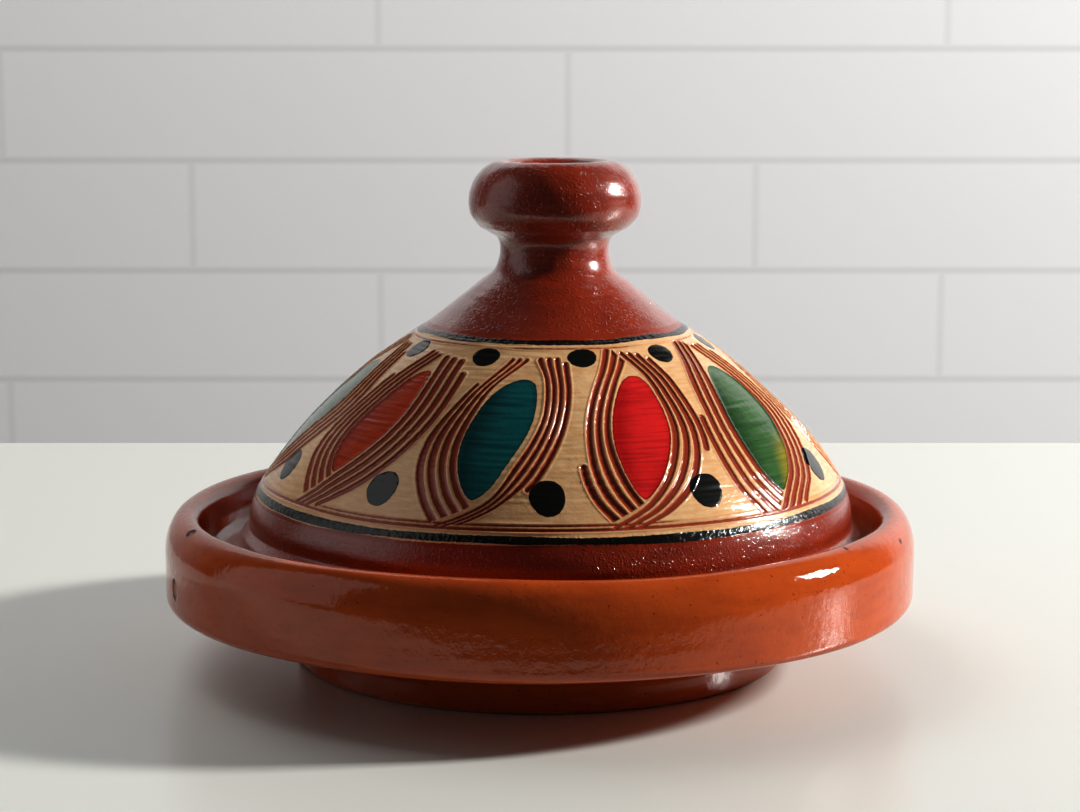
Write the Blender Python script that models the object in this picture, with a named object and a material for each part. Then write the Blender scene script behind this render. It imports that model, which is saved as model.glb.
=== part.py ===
"""Tagine pot: a thrown earthenware base dish and the conical lid that sits in it.

Metres, +Z up. The origin is under the middle of the dish's foot, on the table.
Both pieces are turned shapes: an outline of (radius, height) points spun round
an axis. The lid sits a little to one side in its loose seat and leans slightly,
as hand-thrown pots do.
"""

import math

import bmesh
import bpy
from mathutils import Matrix, Vector

# Driving dimensions, in metres
RIM_RADIUS = 0.150          # outside of the dish
RIM_HEIGHT = 0.0607         # crest of the dish's rim above the table
RIM_THICKNESS = 0.0144      # across the rolled rim
WALL_FOOT = 0.0255          # lower edge of the dish's outer wall
FOOT_RADIUS = 0.098         # outside of the foot ring
FOOT_WIDTH = 0.011          # width of the ring that stands on the table
FOOT_RECESS = 0.006         # depth of the hollow inside the foot ring
FLOOR_TOP = 0.0135          # cooking surface at the middle of the dish
SEAT_HEIGHT = 0.041         # ledge that carries the lid
SEAT_INNER_RADIUS = 0.113   # inner edge of that ledge

FLANGE_RADIUS = 0.1248      # outside of the lid's flange, which stands on the ledge
BULGE_RADIUS = 0.1206       # widest part of the lid above its flange
NECK_RADIUS = 0.0215        # narrowest part, under the knob
KNOB_RADIUS = 0.0342        # widest part of the hollow knob
KNOB_MOUTH_RADIUS = 0.0154  # mouth of the cup in the knob
LID_TOP = 0.1984            # crest of the knob above the table

SEAT_GAP = 0.0003           # clearance between the lid and its ledge
LID_OFFSET = 0.0042         # the lid sits this far to +X in its loose seat
LID_LEAN = 0.012            # sideways lean towards +X, per metre of height

SEGMENTS = 56               # facets round each turned piece


def arc(centre, half_width, half_height, start, end, steps):
    """Points of an ellipse's arc, from start to end in degrees."""
    points = []
    for step in range(steps + 1):
        angle = math.radians(start + (end - start) * step / steps)
        points.append((centre[0] + half_width * math.cos(angle),
                       centre[1] + half_height * math.sin(angle)))
    return points


def smooth_curve(points, steps):
    """A centripetal Catmull-Rom curve through the points."""
    knots = [Vector(point) for point in points]
    knots = [2 * knots[0] - knots[1]] + knots + [2 * knots[-1] - knots[-2]]
    curve = []
    for first in range(len(knots) - 3):
        p0, p1, p2, p3 = knots[first:first + 4]
        t1 = math.sqrt((p1 - p0).length)
        t2 = t1 + math.sqrt((p2 - p1).length)
        t3 = t2 + math.sqrt((p3 - p2).length)
        for step in range(steps):
            t = t1 + (t2 - t1) * step / steps
            a1 = p0.lerp(p1, t / t1)
            a2 = p1.lerp(p2, (t - t1) / (t2 - t1))
            a3 = p2.lerp(p3, (t - t2) / (t3 - t2))
            b1 = a1.lerp(a2, t / t2)
            b2 = a2.lerp(a3, (t - t1) / (t3 - t1))
            curve.append(tuple(b1.lerp(b2, (t - t1) / (t2 - t1))))
    curve.append(tuple(knots[-2]))
    return curve


def dish_outline():
    """The dish from the middle of its underside, round the rim, to the middle of its floor."""
    corner = 0.0035
    inner_rim = RIM_RADIUS - RIM_THICKNESS
    crest = RIM_RADIUS - 0.64 * RIM_THICKNESS
    shoulder = RIM_HEIGHT - 0.015
    foot_inner = FOOT_RADIUS - FOOT_WIDTH
    underside = [
        (0.0, FOOT_RECESS),
        (foot_inner - 0.003, FOOT_RECESS),
        (foot_inner, FOOT_RECESS - 0.003),
        (foot_inner, 0.001),
        (foot_inner + 0.001, 0.0),
        (FOOT_RADIUS - 0.001, 0.0),
        (FOOT_RADIUS, 0.001),
        (FOOT_RADIUS + 0.0005, 0.010),
    ]
    overhang = smooth_curve([
        (FOOT_RADIUS + 0.003, 0.0130),
        (FOOT_RADIUS + 0.018, 0.0185),
        (RIM_RADIUS - corner, WALL_FOOT),
    ], 2)
    lower_edge = arc((RIM_RADIUS - corner, WALL_FOOT + corner), corner, corner, -75, 0, 3)
    rim = arc((crest, shoulder), RIM_RADIUS - crest, RIM_HEIGHT - shoulder, 0, 90, 7)
    lip = arc((crest, RIM_HEIGHT - 0.0057), crest - inner_rim, 0.0057, 110, 180, 3)
    seat_wall = [
        (inner_rim - 0.0008, SEAT_HEIGHT + 0.007),
        (inner_rim - 0.0016, SEAT_HEIGHT + 0.0025),
        (inner_rim - 0.0040, SEAT_HEIGHT),
    ]
    bowl = smooth_curve([
        (SEAT_INNER_RADIUS, SEAT_HEIGHT),
        (SEAT_INNER_RADIUS - 0.0035, SEAT_HEIGHT - 0.0030),
        (SEAT_INNER_RADIUS - 0.0090, 0.0285),
        (0.090, 0.0200),
        (0.060, 0.0150),
        (0.0, FLOOR_TOP),
    ], 2)
    return underside + overhang + lower_edge + rim + lip + seat_wall + bowl


def lid_outline():
    """The lid from the middle of its hollow inside, round its foot and knob, to the cup's floor."""
    foot = SEAT_HEIGHT + SEAT_GAP
    inside = smooth_curve([
        (0.0, 0.1545),
        (0.011, 0.1525),
        (0.036, 0.1365),
        (0.066, 0.1140),
        (0.092, 0.0910),
        (0.106, 0.0740),
        (0.1115, 0.0600),
        (0.1125, 0.0490),
        (0.1155, foot + 0.0010),
    ], 2)
    flange = [
        (0.1170, foot),
        (FLANGE_RADIUS - 0.0030, foot),
        (FLANGE_RADIUS - 0.0008, foot + 0.0014),
        (FLANGE_RADIUS, foot + 0.0040),
        (FLANGE_RADIUS, 0.0500),
        (FLANGE_RADIUS - 0.0010, 0.0523),
        (FLANGE_RADIUS - 0.0030, 0.0533),
        (FLANGE_RADIUS - 0.0048, 0.0541),
    ]
    cone = smooth_curve([
        (BULGE_RADIUS - 0.0002, 0.0560),
        (BULGE_RADIUS, 0.0590),
        (BULGE_RADIUS - 0.0014, 0.0650),
        (0.1163, 0.0710),
        (0.1010, 0.0920),
        (0.0756, 0.1160),
        (0.0473, 0.1365),
        (0.0305, 0.1500),
        (0.0236, 0.1557),
        (NECK_RADIUS, 0.1630),
        (NECK_RADIUS + 0.0011, 0.1680),
        (NECK_RADIUS + 0.0035, 0.1698),
    ], 2)
    knob = smooth_curve([
        (0.0296, 0.1723),
        (0.0330, 0.1765),
        (KNOB_RADIUS, 0.1818),
        (0.0332, 0.1882),
        (0.0300, 0.1939),
        (0.0262, 0.1971),
        (0.0220, LID_TOP),
        (0.0180, 0.1966),
        (KNOB_MOUTH_RADIUS, 0.1915),
    ], 2)
    cup = smooth_curve([
        (0.0148, 0.1850),
        (0.0140, 0.1760),
        (0.0100, 0.1700),
        (0.0, 0.1690),
    ], 2)
    return inside + flange + cone + knob + cup


def glazed_clay(name, colour, roughness):
    """A glossy glaze over fired clay."""
    material = bpy.data.materials.new(name)
    material.use_nodes = True
    shader = material.node_tree.nodes["Principled BSDF"]
    shader.inputs["Base Color"].default_value = (*colour, 1.0)
    shader.inputs["Roughness"].default_value = roughness
    shader.inputs["Metallic"].default_value = 0.0
    return material


def turned(name, outline, material):
    """Spin an outline round the Z axis into one closed solid."""
    shape = bmesh.new()
    verts = [shape.verts.new((radius, 0.0, height)) for radius, height in outline]
    edges = [shape.edges.new(pair) for pair in zip(verts, verts[1:])]
    bmesh.ops.spin(shape, geom=verts + edges, cent=(0, 0, 0), axis=(0, 0, 1),
                   angle=2 * math.pi, steps=SEGMENTS, use_merge=True)
    bmesh.ops.remove_doubles(shape, verts=shape.verts, dist=1e-6)
    bmesh.ops.recalc_face_normals(shape, faces=shape.faces)
    mesh = bpy.data.meshes.new(name)
    shape.to_mesh(mesh)
    shape.free()
    mesh.shade_smooth()
    mesh.set_sharp_from_angle(angle=math.radians(50))
    mesh.materials.append(material)
    piece = bpy.data.objects.new(name, mesh)
    bpy.context.scene.collection.objects.link(piece)
    return piece


def make_dish():
    """The low dish with its foot ring, rolled rim and the ledge for the lid."""
    clay = glazed_clay("terracotta_glaze", (0.42, 0.085, 0.030), 0.22)
    return turned("base_dish", dish_outline(), clay)


def make_lid():
    """The hollow cone with its knob, leaning a little to +X where it sits."""
    glaze = glazed_clay("painted_glaze", (0.30, 0.045, 0.022), 0.20)
    lid = turned("lid", lid_outline(), glaze)
    lean = Matrix.Identity(4)
    lean[0][2] = LID_LEAN
    lean[0][3] = -LID_LEAN * SEAT_HEIGHT
    lid.data.transform(lean)
    lid.location = (LID_OFFSET, 0.0, 0.0)
    return lid


def main():
    """Clear the scene and build the two pieces."""
    for old in list(bpy.data.objects):
        bpy.data.objects.remove(old, do_unlink=True)
    make_dish()
    make_lid()


main()
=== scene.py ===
"""Looks of the tagine pot: glazed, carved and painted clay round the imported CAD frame.

Metres, +Z up, in the row's frame. Round surfaces are described by an outline of
(radius, height) points, read by its length s, and by the angle round the axis,
which is 0 at the front (-Y) and grows towards +X. Colours are linear.
"""

import math

import bpy
import numpy as np
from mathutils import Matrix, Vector


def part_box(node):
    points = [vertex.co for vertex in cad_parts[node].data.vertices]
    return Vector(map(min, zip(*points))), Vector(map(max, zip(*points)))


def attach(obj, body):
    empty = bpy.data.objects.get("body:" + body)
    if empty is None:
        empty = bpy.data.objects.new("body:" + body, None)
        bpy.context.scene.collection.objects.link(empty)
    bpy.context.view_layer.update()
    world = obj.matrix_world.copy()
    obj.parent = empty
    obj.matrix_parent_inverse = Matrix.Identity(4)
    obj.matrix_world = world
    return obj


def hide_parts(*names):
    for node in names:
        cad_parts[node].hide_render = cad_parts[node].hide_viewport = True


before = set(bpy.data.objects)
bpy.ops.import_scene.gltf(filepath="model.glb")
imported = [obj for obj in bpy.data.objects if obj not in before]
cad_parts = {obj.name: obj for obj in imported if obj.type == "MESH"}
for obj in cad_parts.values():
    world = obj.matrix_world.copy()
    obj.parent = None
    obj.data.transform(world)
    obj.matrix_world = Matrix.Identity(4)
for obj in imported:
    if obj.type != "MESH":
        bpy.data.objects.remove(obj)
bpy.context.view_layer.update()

# ---------------------------------------------------------------- dimensions

MM = 0.001

DISH_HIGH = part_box("base_dish")[1]
LID_LOW, LID_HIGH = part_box("lid")

RIM_RADIUS = DISH_HIGH.x
RIM_HEIGHT = DISH_HIGH.z
RIM_THICKNESS = 0.0144
WALL_FOOT = 0.0255
FOOT_RADIUS = 0.098
FOOT_WIDTH = 0.011
FOOT_RECESS = 0.006
FLOOR_TOP = 0.0135
SEAT_HEIGHT = 0.041
SEAT_INNER_RADIUS = 0.113
SEAT_OUTER_RADIUS = RIM_RADIUS - RIM_THICKNESS + MM

FOOT_HEIGHT = LID_LOW.z
LID_TOP = LID_HIGH.z
FLANGE_RADIUS = 0.5 * (LID_HIGH.y - LID_LOW.y)
BULGE_RADIUS = 0.1206
NECK_RADIUS = 0.0215
KNOB_RADIUS = 0.0342
KNOB_MOUTH_RADIUS = 0.0154
LID_LEAN = 0.012                         # towards +X, per metre of height
LID_OFFSET = 0.0042                      # towards +X in its loose seat
BODY_RADIUS = 0.1                        # about what both pieces measure round

# Popped bubbles in the dish's glaze: degrees, height, half sizes across and along
CHIPS = [(-68.5, 0.0375, 3.4 * MM, 4.2 * MM), (-67.5, 0.0597, 2.8 * MM, 2.0 * MM),
         (69.0, 0.0560, 1.0 * MM, 1.0 * MM), (52.0, 0.0604, 0.9 * MM, 1.2 * MM),
         (118.0, 0.0480, 1.3 * MM, 1.8 * MM), (-142.0, 0.0420, 2.2 * MM, 2.6 * MM)]

# The painted band, by height on the lid's outside
BAND_FROM, BAND_TO = 0.0662, 0.1350      # what the carved pieces cover
LOWER_LINE, UPPER_LINE = 0.0734, 0.1316  # where the cream slip starts and ends
BAND_COLUMNS, BAND_ROWS = 1440, 232
BAND_SECTORS = 4

# Hand-thrown relief: the slow wobble, the throwing rings and the dents
LID_WOBBLE, LID_RINGS, LID_DENTS = 0.22 * MM, 0.03 * MM, 0.03 * MM
DISH_WOBBLE, DISH_RINGS, DISH_DENTS = 0.25 * MM, 0.008 * MM, 0.03 * MM


# ------------------------------------------------------------------ outlines

def arc(centre, half_width, half_height, start, end, steps=16):
    """Points of an ellipse's arc, from start to end in degrees."""
    angles = np.radians(np.linspace(start, end, steps + 1))
    return [(centre[0] + half_width * math.cos(a), centre[1] + half_height * math.sin(a))
            for a in angles]


def smooth_curve(points, steps=12):
    """A centripetal Catmull-Rom curve through the points, with this many steps between them."""
    knots = [Vector(point) for point in points]
    knots = [2 * knots[0] - knots[1]] + knots + [2 * knots[-1] - knots[-2]]
    curve = []
    for first in range(len(knots) - 3):
        before, start, end, after = knots[first:first + 4]
        at_start = math.sqrt((start - before).length)
        at_end = at_start + math.sqrt((end - start).length)
        at_after = at_end + math.sqrt((after - end).length)
        for number in range(steps):
            now = at_start + (at_end - at_start) * number / steps
            share = (now - at_start) / (at_end - at_start)
            middle = start.lerp(end, share)
            early = before.lerp(start, now / at_start).lerp(middle, now / at_end)
            late = end.lerp(after, (now - at_end) / (at_after - at_end))
            late = middle.lerp(late, (now - at_start) / (at_after - at_start))
            curve.append(tuple(early.lerp(late, share)))
    curve.append(tuple(knots[-2]))
    return curve


def dish_outline():
    """The dish, from the middle of its underside round the rim to the middle of its floor."""
    corner = 0.0035       # radius of the wall's lower edge
    lip_height = 0.0057
    inner_rim = RIM_RADIUS - RIM_THICKNESS
    crest = RIM_RADIUS - 0.64 * RIM_THICKNESS
    shoulder = RIM_HEIGHT - 0.015
    foot_inner = FOOT_RADIUS - FOOT_WIDTH
    underside = [
        (0.0, FOOT_RECESS), (foot_inner - 0.003, FOOT_RECESS), (foot_inner, FOOT_RECESS - 0.003),
        (foot_inner, 0.001), (foot_inner + 0.001, 0.0), (FOOT_RADIUS - 0.001, 0.0),
        (FOOT_RADIUS, 0.001), (FOOT_RADIUS + 0.0005, 0.010),
    ]
    overhang = smooth_curve([(FOOT_RADIUS + 0.003, 0.0130), (FOOT_RADIUS + 0.018, 0.0185),
                             (RIM_RADIUS - corner, WALL_FOOT)])
    lower_edge = arc((RIM_RADIUS - corner, WALL_FOOT + corner), corner, corner, -75, 0)
    rim = arc((crest, shoulder), RIM_RADIUS - crest, RIM_HEIGHT - shoulder, 0, 90, 24)
    lip = arc((crest, RIM_HEIGHT - lip_height), crest - inner_rim, lip_height, 100, 180)
    seat_wall = [(inner_rim - 0.0008, SEAT_HEIGHT + 0.0080),
                 (inner_rim - 0.0022, SEAT_HEIGHT + 0.0040),
                 (inner_rim - 0.0052, SEAT_HEIGHT + 0.0010), (inner_rim - 0.0088, SEAT_HEIGHT)]
    bowl = smooth_curve([(SEAT_INNER_RADIUS, SEAT_HEIGHT),
                         (SEAT_INNER_RADIUS - 0.0035, SEAT_HEIGHT - 0.0030),
                         (SEAT_INNER_RADIUS - 0.0090, 0.0285), (0.090, 0.0200),
                         (0.060, 0.0150), (0.0, FLOOR_TOP)])
    return underside + overhang + lower_edge + rim + lip + seat_wall + bowl


def lid_outline():
    """The lid, from the middle of its hollow round its foot and knob to the cup's floor."""
    inside = smooth_curve([(0.0, 0.1545), (0.011, 0.1525), (0.036, 0.1365), (0.066, 0.1140),
                           (0.092, 0.0910), (0.106, 0.0740), (0.1115, 0.0600),
                           (0.1125, 0.0490), (0.1155, FOOT_HEIGHT + 0.0010)])
    flange = [
        (0.1170, FOOT_HEIGHT), (FLANGE_RADIUS - 0.0030, FOOT_HEIGHT),
        (FLANGE_RADIUS - 0.0008, FOOT_HEIGHT + 0.0014), (FLANGE_RADIUS, FOOT_HEIGHT + 0.0040),
        (FLANGE_RADIUS, 0.0490), (FLANGE_RADIUS - 0.0010, 0.0512),
        (FLANGE_RADIUS - 0.0028, 0.0530), (FLANGE_RADIUS - 0.0043, 0.0545),
    ]
    cone = smooth_curve([(BULGE_RADIUS - 0.0002, 0.0560), (BULGE_RADIUS, 0.0590),
                         (BULGE_RADIUS - 0.0014, 0.0650), (0.1163, 0.0710), (0.1010, 0.0920),
                         (0.0756, 0.1160), (0.0473, 0.1365), (0.0305, 0.1500),
                         (0.0236, 0.1557), (NECK_RADIUS, 0.1630),
                         (NECK_RADIUS + 0.0011, 0.1680), (NECK_RADIUS + 0.0035, 0.1698)])
    knob = smooth_curve([(0.0296, 0.1723), (0.0330, 0.1765), (KNOB_RADIUS, 0.1818),
                         (0.0332, 0.1882), (0.0300, 0.1939), (0.0262, 0.1971),
                         (0.0220, LID_TOP), (0.0176, 0.1968), (KNOB_MOUTH_RADIUS, 0.1935)])
    cup = smooth_curve([(0.0150, 0.1850), (0.0146, 0.1760), (0.0120, 0.1700), (0.0, 0.1690)])
    return inside + flange + cone + knob + cup


class Outline:
    """An outline with softened corners, sampled by its length s.

    r and z are radius and height there, and nr and nz are the outward normal's two parts.
    """

    STEP = 0.1 * MM

    def __init__(self, points, soften):
        points = np.array(points)
        length = np.concatenate([[0.0], np.cumsum(np.hypot(*np.diff(points, axis=0).T))])
        self.s = np.arange(0.0, length[-1], self.STEP)
        self.r = self.blur(np.interp(self.s, length, points[:, 0]), soften, -1)
        self.z = self.blur(np.interp(self.s, length, points[:, 1]), soften, 1)
        tangent_r, tangent_z = np.gradient(self.r), np.gradient(self.z)
        size = np.hypot(tangent_r, tangent_z)
        self.nr, self.nz = tangent_z / size, -tangent_r / size

    def blur(self, values, width, mirror):
        """A Gaussian blur of this width. Both ends meet the axis, where radius is odd (mirror -1)
        and height is even (mirror 1)."""
        reach = int(4 * width / self.STEP)
        kernel = np.exp(-0.5 * (np.arange(-reach, reach + 1) * self.STEP / width) ** 2)
        padded = np.concatenate([mirror * values[reach:0:-1], values,
                                 mirror * values[-2:-reach - 2:-1]])
        return np.convolve(padded, kernel / kernel.sum(), "valid")

    def at(self, s):
        """Radius, height and the normal's two parts at lengths s."""
        return [np.interp(s, self.s, values) for values in (self.r, self.z, self.nr, self.nz)]

    def find(self, height, after=0.0):
        """The first length past `after` where the outline reaches a height."""
        beyond = np.flatnonzero((self.s > after) & (self.z >= height))
        return self.s[beyond[0]]


# --------------------------------------------------------- hand-made surfaces

def ripples(angle, s, wavelength, seed, waves=14, stretch=1.0):
    """Smooth noise of about unit size on a round surface, closed round the axis.

    wavelength is in metres, and stretch lengthens it round the axis.
    """
    chance = np.random.default_rng(seed)
    total = 0.0
    for _ in range(waves):
        heading = chance.uniform(0, math.pi)
        size = wavelength * chance.uniform(0.7, 1.6)
        turns = round(2 * math.pi * BODY_RADIUS * math.cos(heading) / (size * stretch))
        along = 2 * math.pi * math.sin(heading) / size
        total = total + np.cos(turns * angle + along * s + chance.uniform(0, 2 * math.pi))
    return total * math.sqrt(2 / waves)


def step(x, low, high):
    """0 below low, 1 above high, smooth between."""
    t = np.clip((x - low) / (high - low), 0, 1)
    return t * t * (3 - 2 * t)


def lid_relief(angle, s, radius, height):
    """Hand-thrown unevenness of the lid, none on its foot. The rings are deepest on the neck."""
    wobble = LID_WOBBLE * ripples(angle, s, 0.09, 11) * np.clip(radius / BODY_RADIUS, 0, 1) ** 2
    rings = LID_RINGS * ripples(angle, s, 0.0042, 12, stretch=40)
    rings = rings * (0.25 + step(height, 0.135, 0.150))
    dents = LID_DENTS * ripples(angle, s, 0.016, 13, stretch=2.0)
    return (wobble + rings + dents) * step(height, FOOT_HEIGHT + 0.001, FOOT_HEIGHT + 0.007)


def dish_relief(angle, s, radius, height):
    """Hand-thrown unevenness of the dish, none where it stands and where the lid sits."""
    wobble = DISH_WOBBLE * ripples(angle, s, 0.10, 21)
    rings = DISH_RINGS * ripples(angle, s, 0.006, 22, stretch=40)
    dents = DISH_DENTS * ripples(angle, s, 0.020, 23, stretch=2.0)
    seat = (1 - step(np.abs(height - SEAT_HEIGHT), MM, 5 * MM)) * (radius < SEAT_OUTER_RADIUS)
    return (wobble + rings + dents) * step(height, 0.001, 0.007) * (1 - seat)


def turned_piece(name, outline, s, columns, relief, centre=(0.0, 0.0), lean=0.0,
                 angles=(-math.pi, math.pi), fields=None):
    """A surface of revolution as a grid of quads.

    It is worked out one row and one column further on each side, so that the normals match
    where two pieces meet.
    relief(angle, s, radius, height) gives the relief along the normal. fields is called in the
    same way, and gives more relief and a dictionary of named values on the points.
    """
    closed = math.isclose(angles[1] - angles[0], 2 * math.pi)
    pitch = (angles[1] - angles[0]) / columns
    turn = angles[0] + pitch * np.arange(-1, columns + 2)
    s = np.asarray(s)
    rows = np.concatenate([[s[0] - (s[1] - s[0])], s, [s[-1] + (s[-1] - s[-2])]])
    rows = np.clip(rows, outline.s[0], outline.s[-1])
    angle, length = np.meshgrid(turn, rows)
    radius, height, out_r, out_z = outline.at(length)
    lift = relief(angle, length, radius, height)
    values = {}
    if fields is not None:
        extra, values = fields(angle, length, radius, height)
        lift = lift + extra
    lift = lift * step(radius, 2 * MM, 20 * MM)  # none on the axis, where all columns meet
    radius = radius + out_r * lift
    height = height + out_z * lift
    across = centre[0] + lean * (height - SEAT_HEIGHT)
    points = np.stack([across + radius * np.sin(angle), centre[1] - radius * np.cos(angle),
                       height], -1)
    normals = np.cross(np.gradient(points, axis=1), np.gradient(points, axis=0))
    size = np.linalg.norm(normals, axis=-1)
    tip = radius < 0.2 * MM  # on the axis the normal is upright
    normals[tip] = (0.0, 0.0, 1.0)
    normals[tip] *= np.sign(out_z)[tip][:, None]
    normals[~tip] /= size[~tip][:, None]

    width = columns if closed else columns + 1
    keep = (slice(1, -1), slice(1, width + 1))
    index = np.arange(len(s) * width).reshape(len(s), width)
    right = np.roll(index, -1, axis=1) if closed else index[:, 1:]
    left = index if closed else index[:, :-1]
    faces = np.stack([left[:-1], right[:-1], right[1:], left[1:]], -1).reshape(-1, 4)
    mesh = bpy.data.meshes.new(name)
    points = points[keep].reshape(-1, 3)
    mesh.vertices.add(len(points))
    mesh.vertices.foreach_set("co", points.ravel())
    mesh.loops.add(faces.size)
    mesh.loops.foreach_set("vertex_index", faces.ravel())
    mesh.polygons.add(len(faces))
    mesh.polygons.foreach_set("loop_start", np.arange(0, faces.size, 4))
    mesh.update(calc_edges=True)
    mesh.shade_smooth()
    mesh.normals_split_custom_set_from_vertices(normals[keep].reshape(-1, 3))
    for label, value in values.items():
        value = value[keep]
        if value.ndim == 2:
            attribute = mesh.attributes.new(label, "FLOAT", "POINT")
            attribute.data.foreach_set("value", value.ravel().astype(np.float32))
        else:
            attribute = mesh.attributes.new(label, "FLOAT_VECTOR", "POINT")
            attribute.data.foreach_set("vector", value.reshape(-1, 3).ravel().astype(np.float32))
    piece = bpy.data.objects.new(name, mesh)
    bpy.context.scene.collection.objects.link(piece)
    return piece


# ------------------------------------------------------- the carved pattern
# Places on the band are (degrees from the motif's middle, share of the band's
# height). Each motif is a leaf between two strokes of a four-toothed comb. A
# stroke is set by its inner and its outer tooth, from the bottom up. The right
# stroke runs on under the left one at the bottom. The margins are from the
# innermost grooves' middles to the leaf, at the left and at the right.

TEETH = 4
GROOVE_SHARE = 0.370      # half a groove's width, as a share of the teeth's pitch
GROOVE_HALVES = 0.45 * MM, 1.35 * MM  # the narrowest and the widest half of a groove
GROOVE_DEPTH = 0.42 * MM
LEAF_CROWN = 10 * MM      # twice the radius of the leaf's rounded top
STROKE_GAP = 2.1 * MM     # from the right stroke's inner groove to the ends of the left one
BURR = 0.22 * MM          # the slip pushed up beside a groove
SLIP = 0.14 * MM          # thickness of the cream slip
BRUSHED = 0.10 * MM       # thickness of the black paint
LEAF_HOLLOW = 0.12 * MM
BRUSH_MARKS = 0.035 * MM

FULL = (0.0, 1.0)         # a tooth that cuts all along its stroke
SHAPES = {
    "upright": {
        "left": [((-3.5, 0.04), (-8.0, -0.04)), ((-5.5, 0.10), (-11.0, 0.04)),
                 ((-7.5, 0.18), (-13.5, 0.12)), ((-9.0, 0.30), (-15.5, 0.24)),
                 ((-9.4, 0.43), (-16.0, 0.38)), ((-7.8, 0.59), (-15.2, 0.55)),
                 ((-4.0, 0.74), (-12.5, 0.71)), ((1.2, 0.86), (-9.0, 0.84)),
                 ((5.5, 0.96), (-6.0, 0.95))],
        "right": [((-11.0, 0.0), (-7.0, -0.04)), ((-7.8, 0.04), (-3.2, 0.0)),
                  ((-3.5, 0.10), (1.2, 0.04)), ((1.6, 0.21), (7.0, 0.13)),
                  ((5.7, 0.36), (11.5, 0.25)), ((8.0, 0.49), (14.4, 0.40)),
                  ((8.8, 0.63), (15.6, 0.57)), ((7.8, 0.79), (15.4, 0.75)),
                  ((3.4, 0.93), (12.6, 0.91))],
        "left_teeth": [FULL, FULL, FULL, (0.0, 0.42)],
        "right_teeth": [FULL, FULL, FULL, (0.58, 0.98)],
        "top": 0.785,
        "margins": (1.9 * MM, 1.9 * MM),
    },
    "leaning": {
        "left": [((-1.5, 0.03), (-6.5, -0.05)), ((-3.6, 0.09), (-9.2, 0.02)),
                 ((-6.2, 0.17), (-12.3, 0.11)), ((-8.4, 0.29), (-15.1, 0.25)),
                 ((-9.1, 0.42), (-15.8, 0.41)), ((-8.0, 0.57), (-14.2, 0.55)),
                 ((-5.2, 0.72), (-11.0, 0.70)), ((3.6, 0.90), (-4.2, 0.90))],
        "right": [((-9.1, -0.01), (-6.5, -0.03)), ((-3.8, 0.05), (-1.8, 0.02)),
                  ((1.0, 0.13), (3.1, 0.09)), ((5.2, 0.27), (8.5, 0.19)),
                  ((8.8, 0.43), (12.3, 0.33)), ((10.7, 0.60), (15.1, 0.49)),
                  ((10.8, 0.78), (17.2, 0.72)), ((8.2, 0.90), (17.0, 0.90))],
        "left_teeth": [FULL, FULL, FULL, (0.0, 0.88)],
        "right_teeth": [FULL, FULL, (0.08, 1.0), (0.42, 0.98)],
        "top": 0.775,
        "margins": (1.7 * MM, 3.7 * MM),
    },
    "wide": {
        "left": [((-4.2, 0.03), (-11.0, -0.06)), ((-6.5, 0.09), (-13.8, 0.03)),
                 ((-8.8, 0.18), (-16.2, 0.12)), ((-9.6, 0.31), (-17.3, 0.27)),
                 ((-8.2, 0.51), (-16.8, 0.47)), ((-3.1, 0.74), (-13.0, 0.72)),
                 ((2.0, 0.87), (-8.0, 0.87)), ((5.5, 0.95), (-4.0, 0.97))],
        "right": [((-7.5, -0.01), (-2.5, -0.05)), ((-2.8, 0.08), (2.6, 0.04)),
                  ((1.7, 0.16), (7.5, 0.11)), ((7.0, 0.30), (13.2, 0.24)),
                  ((11.5, 0.47), (18.0, 0.40)), ((12.2, 0.63), (20.0, 0.58)),
                  ((10.5, 0.78), (19.0, 0.75)), ((8.0, 0.92), (17.0, 0.91))],
        "left_teeth": [FULL, FULL, FULL, (0.0, 0.60)],
        "right_teeth": [FULL, FULL, FULL, (0.10, 0.95)],
        "top": 0.780,
        "margins": (1.2 * MM, 1.5 * MM),
    },
    "slim": {
        "left": [((-0.5, 0.06), (-4.5, -0.02)), ((-3.0, 0.14), (-8.0, 0.06)),
                 ((-5.2, 0.20), (-10.7, 0.14)), ((-6.7, 0.28), (-13.3, 0.25)),
                 ((-6.9, 0.40), (-14.0, 0.38)), ((-5.4, 0.56), (-12.4, 0.56)),
                 ((-2.2, 0.72), (-9.0, 0.74)), ((3.4, 0.89), (-4.0, 0.92))],
        "right": [((-9.5, -0.01), (-5.5, -0.03)), ((-5.0, 0.07), (-1.5, 0.02)),
                  ((-1.1, 0.16), (3.0, 0.09)), ((4.0, 0.29), (8.8, 0.20)),
                  ((7.8, 0.43), (13.6, 0.33)), ((9.4, 0.58), (16.8, 0.49)),
                  ((9.2, 0.74), (18.2, 0.68)), ((7.6, 0.88), (18.4, 0.86))],
        "left_teeth": [FULL, FULL, FULL, (0.0, 0.85)],
        "right_teeth": [FULL, FULL, FULL, (0.12, 0.94)],
        "top": 0.790,
        "margins": (1.6 * MM, 2.0 * MM),
    },
}

# Leaf colours: at the left a darker tone, which is painted shade; in the middle; and low at the
# right.
# Low at the right the green's paint has a yellow streak, and the teal and orange get a painted
# highlight.
LEAF_PAINT_AND_SHADE = {
    "orange": ((0.360, 0.026, 0.006), (0.520, 0.048, 0.010), (0.540, 0.080, 0.016)),
    "teal": ((0.004, 0.040, 0.045), (0.006, 0.105, 0.110), (0.015, 0.160, 0.150)),
    "red": ((0.420, 0.006, 0.008), (0.720, 0.020, 0.020), (0.600, 0.014, 0.014)),
    "green": ((0.012, 0.055, 0.014), (0.035, 0.110, 0.026), (0.300, 0.240, 0.016)),
}

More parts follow.
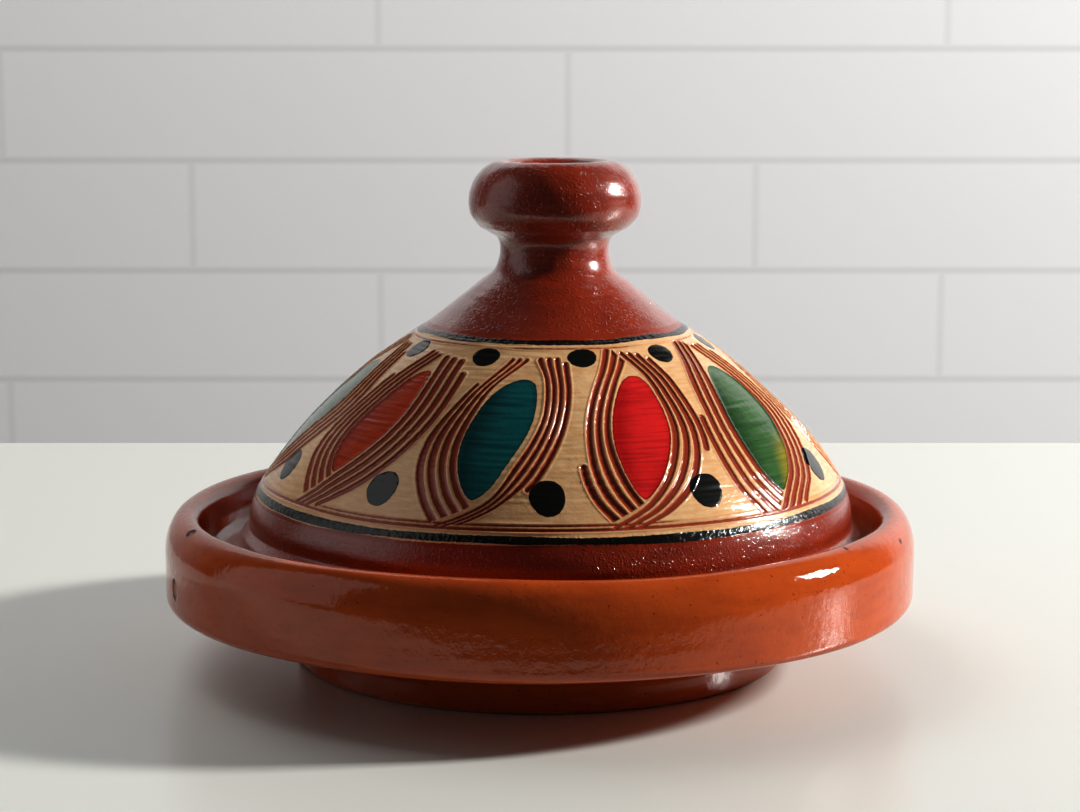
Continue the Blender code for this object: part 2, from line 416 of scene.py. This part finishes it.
# Middle in degrees, shape and colour of each leaf, and its upper and lower dot's degrees past it
LEAVES = [
    (-83.0, "wide", "green", 23.0, 13.9), (-48.0, "slim", "orange", 22.8, 12.6),
    (-13.0, "leaning", "teal", 23.1, 11.9), (22.0, "upright", "red", 20.6, 9.2),
    (56.0, "wide", "green", 24.9, 13.7), (93.0, "leaning", "orange", 23.0, 12.5),
    (129.5, "slim", "teal", 22.5, 12.0), (166.0, "upright", "red", 21.5, 11.5),
    (202.5, "leaning", "green", 23.0, 12.5), (239.5, "upright", "orange", 22.5, 12.0),
]
UPPER_DOT, LOWER_DOT = 0.910, 0.142      # shares of the band's height
UPPER_DOT_SIZE = (5.6 * MM, 5.0 * MM)    # half sizes across and along
LOWER_DOT_SIZE = (6.8 * MM, 7.0 * MM)


def mixed(low, high, share):
    """low and high colours mixed by an array of shares."""
    return np.asarray(low) + (np.asarray(high) - low) * share[..., None]


class Band:
    """The band's fields: signed distances in metres, positive inside a groove, leaf or dot."""

    MARGIN = 9 * MM       # a distance that counts as far away

    def __init__(self, outline):
        self.outline = outline
        foot = outline.s[np.argmin(outline.z)]
        self.low = outline.find(LOWER_LINE, foot)
        self.high = outline.find(UPPER_LINE, foot)

    def place(self, degrees, share):
        """The angle in radians and the length of a place on the band."""
        return math.radians(degrees), self.low + share * (self.high - self.low)

    def path(self, middle, stations, tooth):
        """A tooth's smooth path, as columns of angle, length, and half the groove's width."""
        scale = 0.09      # metres for a radian: about the radius, so that the curve is even
        edges = []
        for side in (0, 1):
            places = [self.place(middle + station[side][0], station[side][1])
                      for station in stations]
            edges.append(np.array(smooth_curve([(angle * scale, s) for angle, s in places])))
        inner, outer = edges
        offset = (outer - inner) / (TEETH - 1)
        path = inner + tooth * offset
        radius = self.outline.at(path[:, 1])[0] / scale
        tangent = np.gradient(path, axis=0)
        across = tangent[:, 0] * radius
        along = tangent[:, 1]
        pitch = np.abs(offset[:, 0] * radius * along - offset[:, 1] * across)
        pitch = pitch / np.hypot(across, along)
        half = np.clip(GROOVE_SHARE * pitch, *GROOVE_HALVES)
        return np.stack([path[:, 0] / scale, path[:, 1], half], -1)

    def near(self, angle, s, radius, path):
        """How far a place is to the right of a path (going up), how far past its ends, and the
        nearest of the path's points."""
        radii = self.outline.at(path[:, 1])[0]
        across = (path[None, :, 0] - angle[:, None]) * 0.5 * (radii[None] + radius[:, None])
        along = path[None, :, 1] - s[:, None]
        nearest = np.argmin(across ** 2 + along ** 2, axis=1)
        pick = np.arange(len(angle))
        across = -across[pick, nearest]
        along = -along[pick, nearest]
        tangent_across = (np.gradient(path[:, 0]) * radii)[nearest]
        tangent_along = np.gradient(path[:, 1])[nearest]
        size = np.hypot(tangent_across, tangent_along)
        tangent_across = tangent_across / size
        tangent_along = tangent_along / size
        side = across * tangent_along - along * tangent_across
        past = across * tangent_across + along * tangent_along
        beyond = np.where(nearest == 0, -past, np.where(nearest == len(path) - 1, past, 0.0))
        return side, np.maximum(beyond, 0.0), nearest

    def window(self, angle, paths):
        """Columns of the grid within reach of paths, and their angles brought next to them."""
        low = min(path[:, 0].min() for path in paths)
        high = max(path[:, 0].max() for path in paths)
        middle = 0.5 * (low + high)
        reach = 0.5 * (high - low) + math.radians(9)
        turned = (angle[0] - middle + math.pi) % (2 * math.pi) - math.pi + middle
        return np.flatnonzero(np.abs(turned - middle) < reach), turned

    def fields(self, angle, s, radius, height):
        """Relief, and the values that the paint is made from, with distances in millimetres."""
        groove = np.full(angle.shape, -self.MARGIN)
        leaf = np.full(angle.shape, -self.MARGIN)
        leaf_paint_and_shade = np.zeros(angle.shape + (3,))
        bends = (math.radians(0.13) * ripples(angle, s, 0.030, 31),
                 0.12 * MM * ripples(angle, s, 0.030, 32))
        for motif in LEAVES:
            self.add_motif(motif, angle, s, radius, bends, groove, leaf, leaf_paint_and_shade)
        dots = self.dots(angle, s, radius)
        cream = self.cream(angle, s)
        groove = np.minimum(groove, np.minimum(s - self.low + 0.4 * MM, self.high - 1.0 * MM - s))
        groove = np.maximum(groove, self.border_grooves(angle, s))
        black = self.black_lines(angle, s)

        cut = -GROOVE_DEPTH * step(groove, -0.05 * MM, 0.45 * MM)
        burr = BURR * np.exp(-((groove + 0.36 * MM) / (0.32 * MM)) ** 2)
        slip = SLIP * step(cream, -0.1 * MM, 0.5 * MM)
        paint = np.maximum(step(dots, -0.1 * MM, 0.8 * MM), step(black, -0.1 * MM, 0.6 * MM))
        pool = -LEAF_HOLLOW * step(leaf, 0.2 * MM, 2.0 * MM)
        brush = BRUSH_MARKS * ripples(angle, s, 0.0022, 33, waves=20, stretch=14)
        on_slip = step(cream, 0, MM)
        relief = cut + burr * on_slip + slip + BRUSHED * paint + pool + brush * on_slip
        relief *= step(s, self.low - 9 * MM, self.low - 7.5 * MM)
        relief *= 1 - step(s, self.high + 3.4 * MM, self.high + 4.6 * MM)
        # Distances go to the points in threes
        marks = np.stack([groove, leaf, dots], -1) / MM
        bands = np.stack([cream, black, 0 * s], -1) / MM
        return relief, {"marks": marks, "bands": bands, "leaf_paint_and_shade": leaf_paint_and_shade}

    def add_motif(self, motif, angle, s, radius, bends, groove, leaf, leaf_paint_and_shade):
        """One leaf and its two combed strokes, added to the three fields in place."""
        middle = motif[0]
        shape = SHAPES[motif[1]]
        colours = LEAF_PAINT_AND_SHADE[motif[2]]
        left = [self.path(middle, shape["left"], tooth) for tooth in range(TEETH)]
        right = [self.path(middle, shape["right"], tooth) for tooth in range(TEETH)]
        columns, turned = self.window(angle, left + right)
        if not len(columns):
            return
        grid = np.ix_(range(angle.shape[0]), columns)
        block = (angle.shape[0], len(columns))
        here = ((np.broadcast_to(turned[columns], block) + bends[0][grid]).ravel(),
                (s[grid] + bends[1][grid]).ravel(), radius[grid].ravel())
        to_left = self.near(*here, left[0])[0]
        to_right = -self.near(*here, right[0])[0]
        cut = np.full(here[0].shape, -self.MARGIN)
        for paths, spans, limit in ((left, shape["left_teeth"], to_right - STROKE_GAP),
                                    (right, shape["right_teeth"], self.MARGIN)):
            for path, span in zip(paths, spans):
                first, last = (round(share * (len(path) - 1)) for share in span)
                path = path[first:last + 1]
                side, past, nearest = self.near(*here, path)
                inside = path[nearest, 2] - np.hypot(side, past)
                cut = np.maximum(cut, np.minimum(inside, limit))
        groove[grid] = np.maximum(groove[grid], cut.reshape(block))

        top = self.place(0, shape["top"])[1]
        crown = top - here[1] - (0.5 * (to_left - to_right)) ** 2 / LEAF_CROWN
        inside = np.stack([to_left - shape["margins"][0], to_right - shape["margins"][1], crown,
                           here[1] - self.low])
        soft = 1.2 * MM   # how much the leaf's corners are rounded
        within = -soft * np.log(np.exp(-np.clip(inside, -self.MARGIN, 3 * self.MARGIN) / soft).sum(0))
        within = within.reshape(block)
        # Painted shade: each leaf darkens towards its left side, and low at the right it takes its
        # third colour.
        rightness = (to_left / np.maximum(to_left + to_right, MM)).reshape(block)
        rise = (here[1] - self.low).reshape(block) / (top - self.low)
        colour = mixed(colours[0], colours[1], step(rightness, 0.05, 0.5))
        low_right = step(rightness, 0.55, 0.95) * (1 - step(rise, 0.30, 0.50))
        colour += (colours[2] - colour) * low_right[..., None]
        leaf_paint_and_shade[grid] = np.where((within > leaf[grid])[..., None], colour, leaf_paint_and_shade[grid])
        leaf[grid] = np.maximum(leaf[grid], within)

    def dots(self, angle, s, radius):
        """Brushed dots above and below, between the motifs."""
        field = np.full(angle.shape, -self.MARGIN)
        for number, (middle, _, _, upper, lower) in enumerate(LEAVES):
            chance = np.random.default_rng(400 + number)
            for degrees, share, (wide, tall) in ((upper, UPPER_DOT, UPPER_DOT_SIZE),
                                                 (lower, LOWER_DOT, LOWER_DOT_SIZE)):
                squash = chance.uniform(-1, 1)
                turn = chance.uniform(0, 6)
                dot_angle, dot_s = self.place(middle + degrees, share)
                across = ((angle - dot_angle + math.pi) % (2 * math.pi) - math.pi) * radius
                along = s - dot_s
                far = np.hypot(across / (1 + 0.05 * squash), along / (1 - 0.05 * squash))
                bearing = np.arctan2(along, across)
                size = np.hypot(wide * np.cos(bearing), tall * np.sin(bearing))
                uneven = 0.045 * np.cos(2 * bearing + turn) + 0.025 * np.cos(3 * bearing + 2 * turn)
                field = np.maximum(field, size * (1 + uneven) - far)
        return field

    def border_grooves(self, angle, s):
        """The scored lines just inside the two black lines, with a few doubled stretches."""
        sway = 0.25 * MM * ripples(angle, 0 * s, 0.10, 41)
        low = self.low - 0.8 * MM + sway
        field = 0.58 * MM - np.abs(s - low)
        doubled = step(ripples(angle, 0 * s, 0.16, 42), 0.2, 0.9)
        field = np.maximum(field, 0.45 * MM * doubled - np.abs(s - low - 1.7 * MM) - 0.05 * MM)
        high = self.high - 2.2 * MM - sway
        scratch = step(ripples(angle, 0 * s, 0.14, 43), -0.2, 0.6)
        return np.maximum(field, 0.42 * MM * scratch - np.abs(s - high) - 0.1 * MM)

    def cream(self, angle, s):
        """The cream slip. Below the lower black line it shows again on part of the way round."""
        low = self.low - 5.6 * MM - 1.3 * MM * step(np.cos(angle + 1.1), 0.2, 0.9)
        low = low + 0.2 * MM * ripples(angle, 0 * s, 0.03, 44)
        return np.minimum(s - low, self.high + 1.2 * MM - s)

    def black_lines(self, angle, s):
        """The two brushed black lines round the lid."""
        low = self.low - 4.9 * MM + 0.25 * MM * ripples(angle, 0 * s, 0.12, 45)
        high = self.high + 1.5 * MM + 0.22 * MM * ripples(angle, 0 * s, 0.08, 46)
        thick_low = 1.55 * MM + 0.16 * MM * ripples(angle, 0 * s, 0.03, 47)
        thick_high = 1.40 * MM + 0.14 * MM * ripples(angle, 0 * s, 0.03, 48)
        return np.maximum(thick_low - np.abs(s - low), thick_high - np.abs(s - high))


# ---------------------------------------------------------------- materials

CLAY = (0.400, 0.130, 0.055)
CLAY_DARK = (0.250, 0.075, 0.032)
CREAM = (0.820, 0.465, 0.215)
CREAM_DARK = (0.590, 0.275, 0.105)
CREAM_LIGHT = (0.930, 0.680, 0.400)
GROOVE = (0.360, 0.055, 0.022)
GROOVE_DARK = (0.270, 0.038, 0.016)
BLACK = (0.0055, 0.0060, 0.0045)
LID_RED = (0.325, 0.034, 0.010)
LID_RED_DARK = (0.150, 0.014, 0.005)
DISH_ORANGE = (0.500, 0.082, 0.014)
DISH_ORANGE_DARK = (0.300, 0.040, 0.008)

# Roughness, and depths of bump in metres
DISH_GLOSS = 0.04
LID_GLOSS = 0.05
BAND_GLOSS = 0.08
SOFT_GLOSS = 0.25
SMOOTH_PITS, LID_PITS, SKIRT_PITS, BAND_PITS = 0.000015, 0.00003, 0.00007, 0.00002
SWELLINGS = 0.00007
GRIT = 0.00013
INK_LUMPS = 0.00020
CLAY_GRAIN = 0.00012
STREAK_RIDGES = 0.000025


class Paint:
    """A material's node tree, built with short calls. Values are numbers or other nodes' outputs."""

    def __init__(self, name, roughness, coat=0.0):
        """coat is the weight of a softer gloss over the sharp one."""
        self.material = bpy.data.materials.new(name)
        self.material.use_nodes = True
        self.tree = self.material.node_tree
        self.shader = self.tree.nodes["Principled BSDF"]
        self.shader.inputs["Roughness"].default_value = roughness
        self.shader.inputs["Coat Weight"].default_value = coat
        self.shader.inputs["Coat Roughness"].default_value = SOFT_GLOSS
        self.place = self.add("TexCoord").outputs["Object"]

    def add(self, kind, inputs=(), **settings):
        """A new node of this kind, with values for its inputs and its own settings."""
        node = self.tree.nodes.new("ShaderNode" + kind)
        for key, value in settings.items():
            setattr(node, key, value)
        for key, value in dict(inputs).items():
            self.put(node.inputs[key], value)
        return node

    def put(self, socket, value):
        """Gives an input socket a number, a colour or another node's output."""
        if isinstance(value, bpy.types.NodeSocket):
            self.tree.links.new(value, socket)
        elif socket.type == "RGBA" and len(value) == 3:
            socket.default_value = (*value, 1.0)
        else:
            socket.default_value = value

    def math(self, operation, first, second=0.0, third=0.0):
        return self.add("Math", {0: first, 1: second, 2: third}, operation=operation).outputs[0]

    def noise(self, scale, low, high, stretch=(1.0, 1.0, 1.0), detail=3.0, roughness=0.55,
              shift=0.0):
        """Noise with features about 1/scale metres, brought to 0..1 between low and high.

        A higher stretch makes it finer along that axis, and shift moves it.
        """
        size = [scale * part for part in stretch]
        where = self.add("Mapping", {"Vector": self.place, "Scale": size, "Location": (shift,) * 3})
        noise = self.add("TexNoise", {"Vector": where.outputs[0], "Scale": 1.0, "Detail": detail,
                                      "Roughness": roughness})
        return self.clamp(noise.outputs["Fac"], low, high)

    def clamp(self, value, low, high):
        """0 at low, 1 at high, smooth between."""
        return self.add("MapRange", {"Value": value, 1: low, 2: high},
                        interpolation_type="SMOOTHSTEP").outputs[0]

    def mix(self, share, low, high):
        """A colour from low to high. These are the Mix node's inputs and output for colours."""
        node = self.add("Mix", data_type="RGBA")
        self.put(node.inputs[0], share)
        self.put(node.inputs[6], low)
        self.put(node.inputs[7], high)
        return node.outputs[2]

    def colour(self, value):
        """Gives the shader its base colour."""
        self.put(self.shader.inputs["Base Color"], value)

    def bump(self, *layers):
        """Layers of (height, distance in metres), one over another, on the shader's normal."""
        normal = None
        for height, distance in layers:
            node = self.add("Bump", {"Height": height, "Distance": distance})
            if normal:
                self.put(node.inputs["Normal"], normal)
            normal = node.outputs[0]
        self.put(self.shader.inputs["Normal"], normal)

    def attribute(self, name):
        return self.add("Attribute", attribute_name=name)

    def parts(self, name):
        """The three numbers of a named value on the points."""
        split = self.add("SeparateXYZ", {0: self.attribute(name).outputs["Vector"]})
        return split.outputs[:3]


def glaze_peel(paint, pits):
    """Bump layers of a brushed glaze: fine pits of this depth, and slow swellings."""
    fine = paint.noise(1300, 0.25, 0.80, detail=1)
    broad = paint.noise(240, 0.20, 0.85, detail=2)
    return (fine, pits), (broad, SWELLINGS)


def red_glaze_colour(paint, body, dark):
    """Glaze colour with horizontal brush marks, thin spots and dark specks."""
    brushed = paint.noise(60, 0.35, 0.75, stretch=(1, 1, 4))
    cloudy = paint.noise(22, 0.35, 0.70, shift=3.0)
    specks = paint.noise(700, 0.68, 0.80, detail=1, shift=7.0)
    colour = paint.mix(paint.math("MULTIPLY", brushed, 0.38), body, dark)
    colour = paint.mix(paint.math("MULTIPLY", cloudy, 0.35), colour, dark)
    return paint.mix(paint.math("MULTIPLY", specks, 0.7), colour, [0.3 * part for part in dark])


def lid_glaze(name, pits):
    """The lid's red glaze, with grit in it, pitted to this depth."""
    paint = Paint(name, LID_GLOSS, coat=0.80)
    paint.colour(red_glaze_colour(paint, LID_RED, LID_RED_DARK))
    grit = paint.noise(850, 0.55, 0.70, detail=1, shift=4.0)
    paint.bump(*glaze_peel(paint, pits), (grit, GRIT))
    return paint.material


def dish_glaze():
    """The dish's orange glaze, broken to the clay inside each chip, with a near-black ring round it
    over the chip's edge.
    """
    paint = Paint("dish_glaze", DISH_GLOSS)
    colour = red_glaze_colour(paint, DISH_ORANGE, DISH_ORANGE_DARK)
    chip = paint.attribute("chips").outputs["Fac"]
    broken = paint.clamp(chip, 0.6, 0.9)
    ring = paint.math("SUBTRACT", broken, paint.clamp(chip, 1.8, 2.2))
    colour = paint.mix(broken, colour, CLAY)
    colour = paint.mix(ring, colour, [0.12 * part for part in DISH_ORANGE_DARK])
    paint.colour(colour)
    roughness = paint.math("MULTIPLY_ADD", broken, 0.5, DISH_GLOSS)
    paint.put(paint.shader.inputs["Roughness"], roughness)
    paint.bump(*glaze_peel(paint, SMOOTH_PITS))
    return paint.material


def bare_clay():
    """The unglazed clay under the dish."""
    paint = Paint("bare_clay", 0.85)
    grain = paint.noise(400, 0.30, 0.75, detail=4)
    rings = paint.noise(90, 0.30, 0.75, stretch=(1, 1, 6))
    colour = paint.mix(paint.math("MULTIPLY", grain, 0.5), CLAY, CLAY_DARK)
    colour = paint.mix(paint.math("MULTIPLY", rings, 0.4), colour, CLAY_DARK)
    paint.colour(colour)
    paint.bump((grain, CLAY_GRAIN))
    return paint.material


def painted_band():
    """Cream slip, grooves cut through it to the red clay, brushed leaves, dots and black lines."""
    paint = Paint("painted_band", BAND_GLOSS, coat=0.25)
    groove, leaf, dot = paint.parts("marks")
    cream, black, _ = paint.parts("bands")
    ragged = paint.noise(500, 0.2, 0.8, detail=3, shift=1.0)
    ragged = paint.math("MULTIPLY_ADD", ragged, 0.30, -0.15)

    def mask(distance, soft=0.12):
        """1 inside a ragged edge that is this soft, in millimetres."""
        return paint.clamp(paint.math("ADD", ragged, distance), -soft, soft)

    streaks = paint.noise(60, 0.30, 0.72, stretch=(1, 1, 24), detail=5, roughness=0.75)
    fine = paint.noise(170, 0.30, 0.75, stretch=(1, 1, 5), detail=4, shift=5.0)
    clouds = paint.noise(45, 0.35, 0.70, shift=9.0)
    slip = paint.mix(paint.math("MULTIPLY", streaks, 0.32), CREAM, CREAM_DARK)
    slip = paint.mix(paint.math("MULTIPLY", clouds, 0.40), slip, CREAM_DARK)
    slip = paint.mix(paint.math("MULTIPLY", fine, 0.50), slip, CREAM_LIGHT)
    burnt = paint.clamp(groove, -1.1, -0.1)
    slip = paint.mix(paint.math("MULTIPLY", burnt, 0.45), slip, CREAM_DARK)

    glaze = red_glaze_colour(paint, LID_RED, LID_RED_DARK)
    colour = paint.mix(mask(cream), glaze, slip)
    lines = paint.noise(1150, 0.45, 0.62, stretch=(0.03, 0.03, 1.0), detail=1, shift=2.0)
    # The leaves' colours, with painted shade at their left side.
    stroke = paint.attribute("leaf_paint_and_shade").outputs["Color"]
    thin = paint.mix(0.62, stroke, (0.0, 0.0, 0.0))
    stroke = paint.mix(paint.math("MULTIPLY", lines, 0.38), stroke, thin)
    stroke = paint.mix(paint.clamp(leaf, 0.9, 0.1), stroke, thin)
    colour = paint.mix(mask(leaf, 0.15), colour, stroke)
    trench = paint.mix(paint.clamp(groove, 0.2, 1.1), GROOVE, GROOVE_DARK)
    colour = paint.mix(mask(groove, 0.16), colour, trench)
    ink = paint.math("MAXIMUM", mask(dot), mask(black))
    colour = paint.mix(ink, colour, BLACK)
    paint.colour(colour)
    lumps = paint.noise(620, 0.30, 0.70, detail=2, shift=4.0)
    lumps = paint.math("MULTIPLY", lumps, paint.clamp(black, -1.5, 0.5))
    smooth = paint.math("MAXIMUM", ink, mask(leaf, 0.15))
    strokes = paint.math("MULTIPLY", streaks, paint.math("SUBTRACT", 1.0, smooth))
    paint.bump(*glaze_peel(paint, BAND_PITS), (lumps, INK_LUMPS), (strokes, STREAK_RIDGES))
    return paint.material


# --------------------------------------------------------------- the object

def spaced(*stops):
    """Lengths through (length, rows before it) stops, evenly between two stops."""
    spans = [np.linspace(start, end, rows, endpoint=False)
             for (start, _), (end, rows) in zip(stops, stops[1:])]
    return np.concatenate([*spans, [stops[-1][0]]])


def make_lid():
    outline = Outline(lid_outline(), 0.45 * MM)
    foot = outline.s[np.argmin(outline.z)]
    start = outline.find(BAND_FROM, foot)
    end = outline.find(BAND_TO, foot)
    place = {"centre": (LID_OFFSET, 0.0), "lean": LID_LEAN, "relief": lid_relief}
    red = lid_glaze("lid_glaze", LID_PITS)
    pitted_red = lid_glaze("skirt_glaze", SKIRT_PITS)
    pieces = [
        turned_piece("lid_inside", outline, spaced((outline.s[0], 0), (foot, 150)), 480, **place),
        turned_piece("lid_skirt", outline, spaced((foot, 0), (start, 110)), 720, **place),
        turned_piece("lid_top", outline, spaced((end, 0), (outline.s[-1], 200)), 480, **place),
    ]
    for piece, glaze in zip(pieces, (red, pitted_red, red)):
        piece.data.materials.append(glaze)
    band = Band(outline)
    painted = painted_band()
    rows = np.linspace(start, end, BAND_ROWS)
    for sector in range(BAND_SECTORS):
        edges = [math.pi * (2 * (sector + part) / BAND_SECTORS - 1) for part in (0, 1)]
        columns = BAND_COLUMNS // BAND_SECTORS
        piece = turned_piece(f"lid_band_{sector + 1}", outline, rows, columns,
                             angles=edges, fields=band.fields, **place)
        piece.data.materials.append(painted)
        pieces.append(piece)
    for piece in pieces:
        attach(piece, "lid")
    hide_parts("lid")


def dish_chips(outline):
    """Popped bubbles in the glaze on the rim's outside, as fields for turned_piece."""
    wall = outline.find(WALL_FOOT + 0.001, outline.s[np.argmin(outline.z)])

    def fields(angle, s, radius, height):
        nearest = np.full(angle.shape, -MM)
        for degrees, chip_height, half_across, half_along in CHIPS:
            across = (angle - math.radians(degrees)) * radius / half_across
            along = (s - outline.find(chip_height, wall)) / half_along
            depth = (1.0 - np.hypot(across, along)) * min(half_across, half_along)
            nearest = np.maximum(nearest, depth)
        pit = -0.30 * MM * step(nearest, 0, 0.8 * MM)
        lip = 0.12 * MM * np.exp(-((nearest + 0.25 * MM) / (0.35 * MM)) ** 2)
        return pit + lip, {"chips": nearest / MM + 1.0}

    return fields


def make_dish():
    outline = Outline(dish_outline(), 0.5 * MM)
    outer_foot = outline.find(0.0014, outline.s[np.argmin(outline.z)])
    crest = outline.s[np.argmax(outline.z)]
    glazed = dish_glaze()
    rows = [spaced((0.0, 0), (outer_foot, 150)), spaced((outer_foot, 0), (crest, 170)),
            spaced((crest, 0), (outline.s[-1], 190))]
    pieces = [
        turned_piece("dish_underside", outline, rows[0], 480, dish_relief),
        turned_piece("dish_outside", outline, rows[1], 580, dish_relief, fields=dish_chips(outline)),
        turned_piece("dish_inside", outline, rows[2], 480, dish_relief),
    ]
    for piece, material in zip(pieces, (bare_clay(), glazed, glazed)):
        piece.data.materials.append(material)
        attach(piece, "base_dish")
    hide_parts("base_dish")


make_lid()
make_dish()


# ---------------------------------------------------------- stage and lights

COURSE, BRICK = 0.1445, 0.739            # height and length of the wall's bricks
JOINT_LEVEL, JOINT_SIDE = 0.203, 0.529   # where one joint lies, below the table's top and aside
HALF_JOINT_LEVEL, HALF_JOINT_SIDE = 0.0080, 0.0090
WALL_WHITE = (0.95, 0.95, 0.965)
WALL_JOINT = (0.82, 0.82, 0.84)
TABLE_WHITE = (0.700, 0.710, 0.665)
TABLE_SPLIT = -0.262                     # the table in front of this isn't mirrored in the pot
ROOM_LOW = -0.8

CAMERA_PLACE = (0.0, -0.952, 0.247)
CAMERA_DOWN = 8.77                       # degrees below level
CAMERA_LENS, CAMERA_SENSOR = 80, 36      # millimetres


def brick_wall():
    """White painted bricks, each course shifted by a third of a brick, with soft grey joints; the
    level joints are darker, which is painted shade.
    """
    paint = Paint("wall_paint", 0.60)
    across, _, height = paint.add("SeparateXYZ", {0: paint.place}).outputs[:3]
    height = paint.math("ADD", height, JOINT_LEVEL)
    course = paint.math("FLOOR", paint.math("DIVIDE", height, COURSE))
    spare = 20  # whole bricks, which keep both places above 0
    shift = paint.math("MULTIPLY_ADD", course, BRICK / 3, spare * BRICK - JOINT_SIDE)
    level = paint.math("PINGPONG", paint.math("ADD", height, spare * COURSE), 0.5 * COURSE)
    side = paint.math("PINGPONG", paint.math("ADD", across, shift), 0.5 * BRICK)
    level = paint.clamp(level, HALF_JOINT_LEVEL, 0.0)
    side = paint.clamp(side, HALF_JOINT_SIDE, 0.0)
    # The upright joints are drawn at 0.6 strength: the level joints' extra darkness is painted shade.
    joint = paint.math("MAXIMUM", level, paint.math("MULTIPLY", side, 0.6))
    paint.colour(paint.mix(joint, WALL_WHITE, WALL_JOINT))
    return paint.material


def stage_box(name, low, high, material):
    """A box of the room, given by two corners."""
    mesh = bpy.data.meshes.new(name)
    corners = [(x, y, z) for z in (low[2], high[2]) for y in (low[1], high[1])
               for x in (low[0], high[0])]
    mesh.from_pydata(corners, [], [(0, 2, 3, 1), (4, 5, 7, 6), (0, 1, 5, 4), (1, 3, 7, 5),
                                   (3, 2, 6, 7), (2, 0, 4, 6)])
    mesh.materials.append(material)
    piece = bpy.data.objects.new(name, mesh)
    bpy.context.scene.collection.objects.link(piece)
    return piece


def soft_light(name, glow, size, location, target=(0.0, 0.0, 0.09), colour=(1, 1, 1),
               mirrored=True, lights=True):
    """An area light that the camera doesn't see, which looks `glow` bright in reflections.

    It shows in gloss only where mirrored is true, and it lights matt surfaces where lights is.
    """
    light = bpy.data.lights.new(name, "AREA")
    light.shape = "RECTANGLE"
    light.size, light.size_y = size
    light.energy = glow * math.pi * size[0] * size[1]
    light.color = colour
    lamp = bpy.data.objects.new(name, light)
    lamp.location = location
    lamp.rotation_mode = "QUATERNION"
    lamp.rotation_quaternion = (Vector(location) - Vector(target)).to_track_quat("Z", "Y")
    lamp.visible_camera = False
    lamp.visible_glossy = mirrored
    lamp.visible_diffuse = lights
    bpy.context.scene.collection.objects.link(lamp)


def make_stage():
    """A pale table and a pale wall beyond it, with a low window light at the right, a light over
    the wall, and a pale room at the left."""
    table_paint = Paint("table_paint", 0.30)
    table_paint.colour(TABLE_WHITE)
    table = table_paint.material
    stage_box("table", (-3.0, TABLE_SPLIT, ROOM_LOW), (3.0, 0.5, 0.0), table)
    stage_box("wall", (-4.0, 2.2, ROOM_LOW), (4.0, 2.3, 3.0), brick_wall())
    table_front = stage_box("table_front", (-3.0, -3.5, ROOM_LOW), (3.0, TABLE_SPLIT, 0.0), table)
    table_front.visible_glossy = False   # the pot's front mirrors a dark room, and
    table_front.visible_diffuse = False  # the near table throws no light up at it
    bpy.context.scene.view_settings.view_transform = "Standard"
    bpy.context.scene.view_settings.gamma = 0.86  # deeper shadows

    world = bpy.data.worlds.new("studio")
    bpy.context.scene.world = world
    world.use_nodes = True
    background = world.node_tree.nodes["Background"]
    background.inputs["Color"].default_value = (0.93, 0.95, 1.0, 1.0)
    background.inputs["Strength"].default_value = 0.03
    soft_light("key_light", glow=470, size=(0.32, 0.32), location=(2.72, 0.19, 1.30),
               colour=(1.0, 0.98, 0.95))
    soft_light("ceiling", glow=2.7, size=(2.0, 1.6), location=(-1.2, 1.1, 2.3),
               target=(-0.3, 0.8, 0.0), mirrored=False)
    left_room = {"size": (1.10, 1.8), "location": (-1.3, -0.22, 0.9), "target": (0.0, -0.22, 0.9)}
    soft_light("left_room", glow=0.55, **left_room)
    soft_light("left_gloss", glow=0.50, lights=False, **left_room)


def make_camera():
    camera = bpy.data.cameras.new("camera")
    camera.lens = CAMERA_LENS
    camera.sensor_width = CAMERA_SENSOR
    mount = bpy.data.objects.new("camera", camera)
    mount.location = CAMERA_PLACE
    mount.rotation_euler = (math.radians(90 - CAMERA_DOWN), 0, 0)
    bpy.context.scene.collection.objects.link(mount)
    bpy.context.scene.camera = mount


make_stage()
make_camera()
